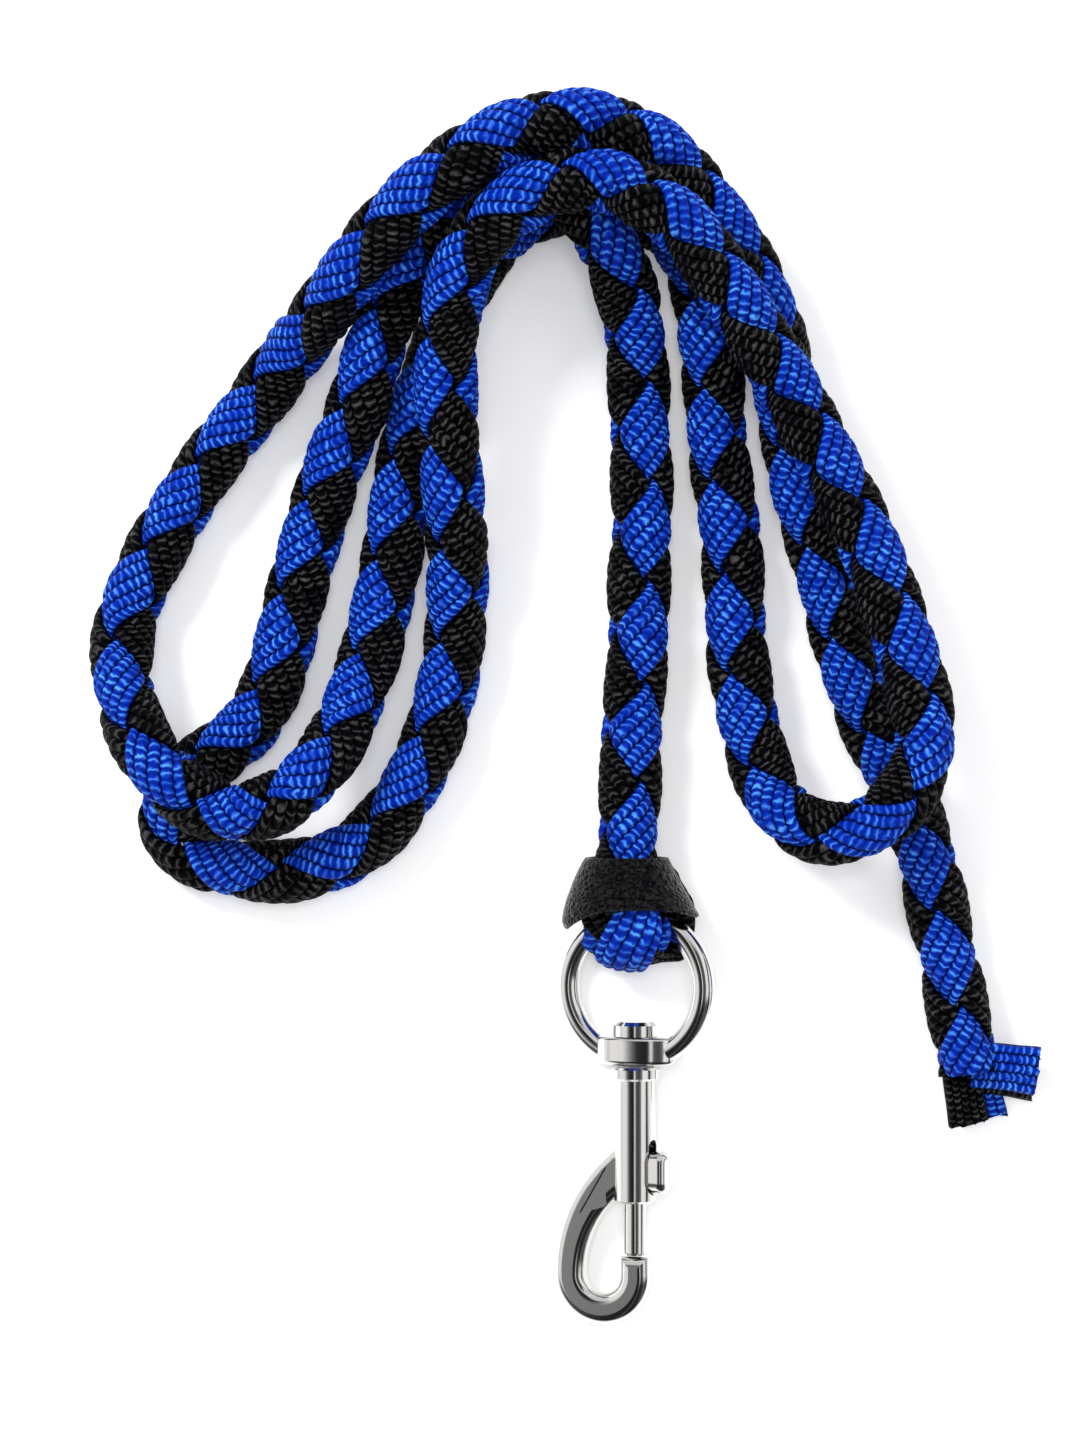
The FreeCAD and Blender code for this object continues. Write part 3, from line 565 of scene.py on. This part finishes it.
def knit_group():
    """Ridges with arched stitches along a tape, on its own UV map in metres by width. Its colour
    holds painted shade in the grooves and between stitches, and a painted highlight on each
    stitch.
    """
    found = bpy.data.node_groups.get("Knitted tape")
    if found:
        return found
    group = new_group(
        "Knitted tape",
        [("UV", "NodeSocketVector", None), ("Stitch", "NodeSocketFloat", 0.0017),
         ("Ridges", "NodeSocketFloat", 5.0), ("Base", "NodeSocketColor", None),
         ("Light", "NodeSocketColor", None), ("Dark", "NodeSocketColor", None)],
        [("Color", "NodeSocketColor"), ("Roughness", "NodeSocketFloat"),
         ("Height", "NodeSocketFloat")],
    )
    n = Nodes(group)
    given = n.add("NodeGroupInput")
    result = n.add("NodeGroupOutput")
    parts = n.add("ShaderNodeSeparateXYZ")
    n.join(given.outputs["UV"], parts.inputs[0])

    coords = n.add("ShaderNodeTexCoord")
    wander = n.texture("ShaderNodeTexNoise", coords, 420.0, 2.0)
    sway = n.math("SUBTRACT", wander.outputs["Fac"], 0.5)

    across = n.math("MULTIPLY", parts.outputs["Y"], given.outputs["Ridges"])
    across = n.math("ADD", across, n.math("MULTIPLY", sway, RIDGE_SWAY))
    ridge_number = n.math("FLOOR", across)
    share = n.math("SUBTRACT", n.math("FRACT", across), 0.5)
    square = n.math("MULTIPLY", n.math("MULTIPLY", share, share), 4.0)
    groove = n.math("POWER", square, 2.4)
    ridge = n.math("SUBTRACT", 1.0, groove)

    # One arched stitch after another, set off from the next ridge's.
    count = n.math("DIVIDE", parts.outputs["X"], given.outputs["Stitch"])
    count = n.math("ADD", count, n.math("MULTIPLY", square, STITCH_ARCH))
    count = n.math("ADD", count, n.math("MULTIPLY", ridge_number, STITCH_SET_OFF))
    count = n.math("ADD", count, n.math("MULTIPLY", sway, STITCH_SWAY))
    wave = n.math("SINE", n.math("MULTIPLY", count, 2.0 * math.pi))
    stitch = n.math("MULTIPLY_ADD", wave, 0.5, 0.5)

    fibre = n.texture("ShaderNodeTexNoise", coords, 2600.0, 3.0)
    patch = n.texture("ShaderNodeTexNoise", coords, 210.0, 3.0)

    height = n.math("MULTIPLY", ridge, n.math("MULTIPLY_ADD", stitch, 0.45, 0.60))
    height = n.math("ADD", height, n.math("MULTIPLY", fibre.outputs["Fac"], 0.14))
    n.join(height, result.inputs["Height"])

    # Painted shade: the grooves between ridges and the gaps between stitches are darkened towards
    # the Dark colour.
    gap = n.math("POWER", n.math("SUBTRACT", 1.0, stitch), 3.0)
    shadow = n.math("MULTIPLY_ADD", gap, 0.45, groove, clamp=True)
    colour = n.mix_colour(shadow, given.outputs["Base"], given.outputs["Dark"])
    # Painted highlight: a thin bright line along the top of each stitch, stronger in noise
    # patches, mixed towards the Light colour. The same mask also lowers the roughness there.
    crest_highlight = n.math("MULTIPLY", n.math("POWER", stitch, 4.5), ridge)
    glint = n.math("MULTIPLY_ADD", patch.outputs["Fac"], 3.2, -1.15, clamp=True)
    crest_highlight = n.math("MULTIPLY", crest_highlight, n.math("MULTIPLY_ADD", glint, 0.85, 0.15), clamp=True)
    colour = n.mix_colour(crest_highlight, colour, given.outputs["Light"])
    n.join(colour, result.inputs["Color"])
    rough = n.math("MULTIPLY_ADD", crest_highlight, -0.20, 0.58)
    n.join(rough, result.inputs["Roughness"])
    return group


def principled(name):
    material = bpy.data.materials.new(name)
    material.use_nodes = True
    shader = next(n for n in material.node_tree.nodes if n.type == "BSDF_PRINCIPLED")
    return material, Nodes(material.node_tree), shader


def tape_material(name, base, light, dark):
    found = bpy.data.materials.get(name)
    if found:
        return found
    rope = rope_settings()
    material, n, shader = principled(name)
    knit = n.add("ShaderNodeGroup", node_tree=knit_group())
    uv = n.add("ShaderNodeUVMap", uv_map="UVMap")
    n.join(uv.outputs[0], knit.inputs["UV"])
    knit.inputs["Stitch"].default_value = rope.stitch
    knit.inputs["Ridges"].default_value = rope.ridges
    knit.inputs["Base"].default_value = tuple(base)
    # Light is the painted highlight on the stitch tops, and Dark is the painted shade in the
    # grooves and between stitches.
    knit.inputs["Light"].default_value = tuple(light)
    knit.inputs["Dark"].default_value = tuple(dark)
    n.bump(knit.outputs["Height"], 0.9, 0.0007, shader)
    n.join(knit.outputs["Color"], shader.inputs["Base Color"])
    n.join(knit.outputs["Roughness"], shader.inputs["Roughness"])
    shader.inputs["Specular IOR Level"].default_value = 0.06
    return material


def blue_tape():
    rope = rope_settings()
    return tape_material("blue_knitted_tape", rope.blue, rope.blue_painted_highlight, rope.blue_painted_shade)


def black_tape():
    rope = rope_settings()
    return tape_material("black_knitted_tape", rope.black, rope.black_painted_highlight, rope.black_painted_shade)


def leather():
    found = bpy.data.materials.get("pebbled_black_leather")
    if found:
        return found
    material, n, shader = principled("pebbled_black_leather")
    coords = n.add("ShaderNodeTexCoord")
    pebbles = n.texture("ShaderNodeTexVoronoi", coords, 620.0, feature="DISTANCE_TO_EDGE")
    grain = n.math("MULTIPLY", pebbles.outputs["Distance"], 3.2, clamp=True)
    creases = n.texture("ShaderNodeTexNoise", coords, 340.0, 5.0)
    height = n.math("ADD", grain, n.math("MULTIPLY", creases.outputs["Fac"], 0.8))
    n.bump(height, 1.0, 0.00045, shader)
    # Painted shade: the leather is darker at the pebbles' edges and where the creases dip, the
    # same textures that shape its bump.
    shaded_black = n.mix_colour(n.math("MULTIPLY", grain, creases.outputs["Fac"]),
                        (0.0003, 0.0003, 0.0003, 1), (0.010, 0.0098, 0.0095, 1))
    n.join(shaded_black, shader.inputs["Base Color"])
    n.join(n.math("MULTIPLY_ADD", creases.outputs["Fac"], 0.34, 0.10), shader.inputs["Roughness"])
    shader.inputs["Specular IOR Level"].default_value = 0.26
    return material


def metal(name, colour, rough, rough_spread, dent):
    """Plated or drawn metal with faint casting waves and fine handling marks."""
    found = bpy.data.materials.get(name)
    if found:
        return found
    material, n, shader = principled(name)
    coords = n.add("ShaderNodeTexCoord")
    waves = n.texture("ShaderNodeTexNoise", coords, 120.0, 3.0)
    marks = n.texture("ShaderNodeTexNoise", coords, 1900.0, 5.0)
    shader.inputs["Metallic"].default_value = 1.0
    dull = tuple(c * 0.86 for c in colour[:3]) + (1.0,)
    n.join(n.mix_colour(waves.outputs["Fac"], dull, colour), shader.inputs["Base Color"])
    n.join(n.math("MULTIPLY_ADD", marks.outputs["Fac"], rough_spread, rough),
           shader.inputs["Roughness"])
    height = n.math("ADD", waves.outputs["Fac"], n.math("MULTIPLY", marks.outputs["Fac"], 0.05))
    n.bump(height, dent, 0.0003, shader)
    return material


def waxed_twine():
    found = bpy.data.materials.get("waxed_twine")
    if found:
        return found
    material, n, shader = principled("waxed_twine")
    coords = n.add("ShaderNodeTexCoord")
    lay = n.texture("ShaderNodeTexWave", coords, 420.0, bands_direction="DIAGONAL")
    lay.inputs["Distortion"].default_value = 2.0
    # Painted shade: the twine is darker in the troughs of its lay, the same bands that shape its
    # bump.
    n.join(n.mix_colour(lay.outputs["Fac"], (0.02, 0.02, 0.021, 1), (0.06, 0.058, 0.055, 1)),
           shader.inputs["Base Color"])
    n.bump(lay.outputs["Fac"], 1.0, 0.0003, shader)
    shader.inputs["Roughness"].default_value = 0.45
    return material


def dress(node, material):
    """Give a CAD node its finish."""
    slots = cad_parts[node].data.materials
    slots.clear()
    slots.append(material)
    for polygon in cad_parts[node].data.polygons:
        polygon.material_index = 0


# ------------------------------------------------------------------ pieces
ROPE_LINE = []


def free_line():
    if not ROPE_LINE:
        ROPE_LINE.append(Line("rope_line", ROPE_ROUTE, 1.2 * MM))
    return ROPE_LINE[0]


class LEADROPE_OT_free_rope(Operator):
    """Braid the long rope from four knitted tapes, laid along its route"""
    bl_idname = "lead_rope.free_rope"
    bl_label = "Free rope"

    def execute(self, context):
        line = free_line()

        def twist(along):
            return math.radians(line.blend(ROPE_TWIST, along))

        def slip(along):
            return line.blend(ROPE_SLIP, along) * MM

        for name, hand, turn, finish in (
            ("rope_blue_a", 1, 0, blue_tape()), ("rope_blue_b", 1, 1, blue_tape()),
            ("rope_black_a", -1, 0, black_tape()), ("rope_black_b", -1, 1, black_tape()),
        ):
            tape = braid_tape(name, line, hand, turn, finish, twist, slip)
            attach(tape, "rope")
            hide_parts("rope")
        return {"FINISHED"}


class LEADROPE_OT_bight(Operator):
    """Braid the doubled end that goes through the swivel eye, squeezed by the collar"""
    bl_idname = "lead_rope.bight"
    bl_label = "Doubled end"

    def execute(self, context):
        def side(share):
            lost = BIGHT_LEAN_LOST * smooth_step(2.0 * share - 0.7)
            lean = math.radians(BIGHT_LEAN * (1.0 - lost))
            return (-math.cos(lean), 0, -math.sin(lean))

        line = Line("bight_line", BIGHT_ROUTE, 0.7 * MM, side=side)
        wide_keys = [(i, pair[0]) for i, pair in enumerate(BIGHT_SQUASH)]
        deep_keys = [(i, pair[1]) for i, pair in enumerate(BIGHT_SQUASH)]

        def squash(along):
            return line.blend(wide_keys, along), line.blend(deep_keys, along)

        def twist(along):
            return math.radians(BIGHT_TWIST)

        for name, hand, turn, keys in (
            ("bight_blue_a", 1, 0, BIGHT_FRONT_BLUE), ("bight_blue_b", 1, 1, BIGHT_BACK_BLUE),
            ("bight_black_a", -1, 0, BIGHT_BLACK), ("bight_black_b", -1, 1, BIGHT_BLACK),
        ):
            def coverage(along, keys=keys):
                return line.blend(keys, along)

            tape = braid_tape(
                name, line, hand, turn, blue_tape() if hand > 0 else black_tape(), twist,
                squash=squash, phase=BIGHT_PHASE, pitch=BIGHT_PITCH, coverage=coverage,
            )
            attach(tape, "rope")
            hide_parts("rope_bight")
        return {"FINISHED"}


class LEADROPE_OT_collar(Operator):
    """Wrap the black leather collar round the rope where it is doubled"""
    bl_idname = "lead_rope.collar"
    bl_label = "Collar"

    def execute(self, context):
        low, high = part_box("collar")
        around, up_rows = 64, 16
        bm = bmesh.new()
        bmesh.ops.create_grid(bm, x_segments=around, y_segments=up_rows, size=1.0)
        for vertex in bm.verts:
            turn = (vertex.co.x + 1.0) * math.pi
            rise = (vertex.co.y + 1.0) / 2.0
            side = math.cos(turn)
            front = math.sin(turn)
            if side < 0:
                # The left side bulges just above its foot and tucks in a little at the foot.
                tuck = 0.13 * max(0.0, 1 - rise / 0.1)
                flare = COLLAR_LEFT_FLARE * (1.0 - max(0.0, (rise - 0.1) / 0.9) ** 1.4 - tuck)
            else:
                flare = COLLAR_RIGHT_FLARE * (1.0 - rise) ** 1.1
            half_wide = (COLLAR_TOP_HALF_WIDTH + flare) * MM
            half_deep = (COLLAR_FOOT_HALF_DEPTH - COLLAR_DEPTH_LOST * rise ** 0.85) * MM
            power = COLLAR_SQUARENESS
            squarish = 1.0 / (abs(side) ** power + abs(front) ** power) ** (1.0 / power)
            middle_x, middle_z = (
                (foot + moved * rise) * MM
                for foot, moved in zip(COLLAR_FOOT_MIDDLE, COLLAR_MIDDLE_MOVED)
            )
            x = middle_x + side * squarish * half_wide
            z = middle_z + front * squarish * half_deep
            droop = COLLAR_LEFT_DROOP if side < 0 else COLLAR_RIGHT_DROOP
            base = low.y + (COLLAR_FOOT_RAISED - COLLAR_DROOP * abs(side) ** 2.8 * droop) * MM
            y = base + (high.y + COLLAR_TOP_RAISED * MM - base) * rise
            crease = noise.noise(Vector((x * 160.0, y * 700.0, z * 160.0)))
            crease *= COLLAR_CREASE * MM
            vertex.co = (x + side * crease, y, z + front * crease)
        bmesh.ops.remove_doubles(bm, verts=bm.verts[:], dist=1e-6)
        bmesh.ops.recalc_face_normals(bm, faces=bm.faces[:])
        piece = new_piece("collar_wrap", bm, leather())
        wall = piece.modifiers.new("Thickness", "SOLIDIFY")
        wall.thickness = COLLAR_WALL * MM
        wall.offset = -1.0
        round_off = piece.modifiers.new("Rounding", "SUBSURF")
        round_off.levels = 2
        round_off.render_levels = 2
        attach(piece, "rope")
        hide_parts("collar")
        return {"FINISHED"}


class LEADROPE_OT_tape_ends(Operator):
    """Lay out the four loose tape ends at the cut tail of the rope"""
    bl_idname = "lead_rope.tape_ends"
    bl_label = "Loose tape ends"

    def execute(self, context):
        rope = rope_settings()
        for name, node, hand, share, route in TAPE_END_ROUTES:
            width = rope.tape_width * share
            line = Line(name + "_line", route, 0.8 * MM)

            def place(row, column, line=line, width=width, name=name):
                along = row * line.step
                across, height = section_place(column, rope.ridges)
                up, right = line.frames[row]
                frayed = (along - line.length + FRAY_LENGTH * MM) / (FRAY_LENGTH * MM)
                fray = 1.0 + FRAY_SPREAD * smooth_step(frayed)
                side = across * width / 2.0 * fray
                curl = EDGE_CURL * MM * across * across
                end = drift(column * 0.71 + len(name), along, *END_WANDER)
                reach = line.points[row] + right * side
                reach += up * (height * rope.tape_thickness - curl)
                if row == len(line.points) - 1:
                    ahead = (line.points[row] - line.points[row - 1]).normalized()
                    reach += ahead * end
                if column > OUTER_COLUMNS:
                    across = 2.0 - across
                return reach, (along, (across + 1.0) / 2.0)

            bm = swept_sheet(len(line.points), place)
            piece = new_piece(name, bm, blue_tape() if hand > 0 else black_tape())
            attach(piece, "rope")
            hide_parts(node)

        line = free_line()
        return {"FINISHED"}


class LEADROPE_OT_twine(Operator):
    """Give the seizing twine round the doubled end, under the collar, its waxed finish"""
    bl_idname = "lead_rope.twine"
    bl_label = "Seizing twine"

    def execute(self, context):
        dress("seizing_twine", waxed_twine())
        return {"FINISHED"}


class LEADROPE_OT_snap(Operator):
    """Give the swivel eye, the snap and its plunger their nickel plate and steel"""
    bl_idname = "lead_rope.snap"
    bl_label = "Snap finish"

    def execute(self, context):
        nickel = metal("nickel_plate", (0.88, 0.87, 0.85, 1), 0.03, 0.06, 0.5)
        steel = metal("spring_steel", (0.52, 0.51, 0.50, 1), 0.20, 0.18, 0.15)
        for node in ("swivel_eye", "snap_body", "swivel_rivet", "plunger_bolt", "thumb_knob"):
            dress(node, nickel)
        for node in ("thrust_washer", "knob_pin", "plunger_spring"):
            dress(node, steel)
        return {"FINISHED"}


class LEADROPE_OT_stage(Operator):
    """Set up the camera, the pale floor and the soft lights"""
    bl_idname = "lead_rope.stage"
    bl_label = "Camera, floor and lights"

    def execute(self, context):
        stage = stage_settings()
        scene = context.scene
        lens = bpy.data.cameras.new("view")
        lens.sensor_fit = "VERTICAL"
        lens.sensor_height = 36.0
        lens.sensor_width = 36.0
        lens.lens = 36.0 * stage.camera_height / stage.view_height
        lens.clip_end = 20.0
        camera = bpy.data.objects.new("camera", lens)
        camera.location = (stage.view_centre[0], stage.view_centre[1], stage.camera_height)
        scene.collection.objects.link(camera)
        scene.camera = camera
        scene.view_settings.view_transform = "Standard"

        bm = bmesh.new()
        bmesh.ops.create_grid(bm, x_segments=4, y_segments=4, size=2.5)
        floor_finish, n, shader = principled("pale_floor")
        coords = n.add("ShaderNodeTexCoord")
        grain = n.texture("ShaderNodeTexNoise", coords, 6.0)
        n.join(n.mix_colour(grain.outputs["Fac"], (0.87, 0.87, 0.87, 1), (0.90, 0.90, 0.90, 1)),
               shader.inputs["Base Color"])
        shader.inputs["Roughness"].default_value = 0.8
        shader.inputs["Specular IOR Level"].default_value = 0.2
        shader.inputs["Emission Color"].default_value = (1.0, 1.0, 1.0, 1.0)
        shader.inputs["Emission Strength"].default_value = 0.20
        floor = new_piece("floor", bm, floor_finish, smooth=False)

        for name, place, side, power in LAMPS:
            lamp = bpy.data.lights.new(name, "AREA")
            lamp.shape = "SQUARE"
            lamp.size = side
            lamp.energy = power
            holder = bpy.data.objects.new(name, lamp)
            holder.location = place
            holder.visible_glossy = False
            aim = Vector(LAMP_TARGET) - Vector(place)
            holder.rotation_euler = aim.to_track_quat("-Z", "Y").to_euler()
            scene.collection.objects.link(holder)

        world = bpy.data.worlds.new("studio")
        world.use_nodes = True
        w = Nodes(world.node_tree)
        backdrop = next(node for node in world.node_tree.nodes if node.type == "BACKGROUND")
        coords = w.add("ShaderNodeTexCoord")
        parts = w.add("ShaderNodeSeparateXYZ")
        w.join(coords.outputs["Generated"], parts.inputs[0])
        # What the plating mirrors: strip lights at the sides, a pale far wall, a dark near one
        # and a white table below.
        strips = w.add("ShaderNodeValToRGB")
        w.join(w.math("MULTIPLY_ADD", parts.outputs["X"], 0.5, 0.5), strips.inputs[0])
        for place, grey in MIRRORED_STRIPS:
            stop = strips.color_ramp.elements.new(place)
            stop.color = (grey, grey, grey * 1.01, 1)
        far = w.math("MULTIPLY", w.ease(parts.outputs["Y"], 0.42, 0.62), 0.75)
        room = w.mix_colour(far, strips.outputs[0], (0.9, 0.9, 0.92, 1))
        near = w.math("MULTIPLY", w.ease(parts.outputs["Y"], -0.12, -0.30), 0.92)
        room = w.mix_colour(near, room, (0.012, 0.012, 0.013, 1))
        above_table = w.ease(parts.outputs["Z"], 0.10, 0.24)
        room = w.mix_colour(above_table, (1.0, 1.0, 1.0, 1), room)
        rays = w.add("ShaderNodeLightPath")
        seen = w.mix_colour(rays.outputs["Is Glossy Ray"], (0.72, 0.72, 0.72, 1), room)
        w.join(seen, backdrop.inputs["Color"])
        backdrop.inputs["Strength"].default_value = 1.0
        scene.world = world
        return {"FINISHED"}


class LEADROPE_PT_panel(Panel):
    """Buttons that build the lead rope piece by piece"""
    bl_idname = "LEADROPE_PT_panel"
    bl_label = "Lead Rope"
    bl_space_type = "VIEW_3D"
    bl_region_type = "UI"
    bl_category = "Lead Rope"

    def draw(self, context):
        layout = self.layout
        for settings in (context.scene.lead_rope, context.scene.lead_rope_stage):
            box = layout.box()
            for key in settings.__annotations__:
                box.prop(settings, key)
        for operator in OPERATORS:
            layout.operator(operator.bl_idname)


OPERATORS = (
    LEADROPE_OT_stage,
    LEADROPE_OT_free_rope,
    LEADROPE_OT_tape_ends,
    LEADROPE_OT_bight,
    LEADROPE_OT_collar,
    LEADROPE_OT_twine,
    LEADROPE_OT_snap,
)
CLASSES = (LeadRopeRopeSettings, LeadRopeStageSettings) + OPERATORS + (LEADROPE_PT_panel,)


def register():
    for each in CLASSES:
        bpy.utils.register_class(each)
    bpy.types.Scene.lead_rope = PointerProperty(type=LeadRopeRopeSettings)
    bpy.types.Scene.lead_rope_stage = PointerProperty(type=LeadRopeStageSettings)


def unregister():
    del bpy.types.Scene.lead_rope_stage
    del bpy.types.Scene.lead_rope
    for each in reversed(CLASSES):
        bpy.utils.unregister_class(each)


def build():
    """Register the add-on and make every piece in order."""
    register()
    bpy.ops.lead_rope.stage()
    bpy.ops.lead_rope.free_rope()
    bpy.ops.lead_rope.tape_ends()
    bpy.ops.lead_rope.bight()
    bpy.ops.lead_rope.collar()
    bpy.ops.lead_rope.twine()
    bpy.ops.lead_rope.snap()


if __name__ == "__main__":
    build()
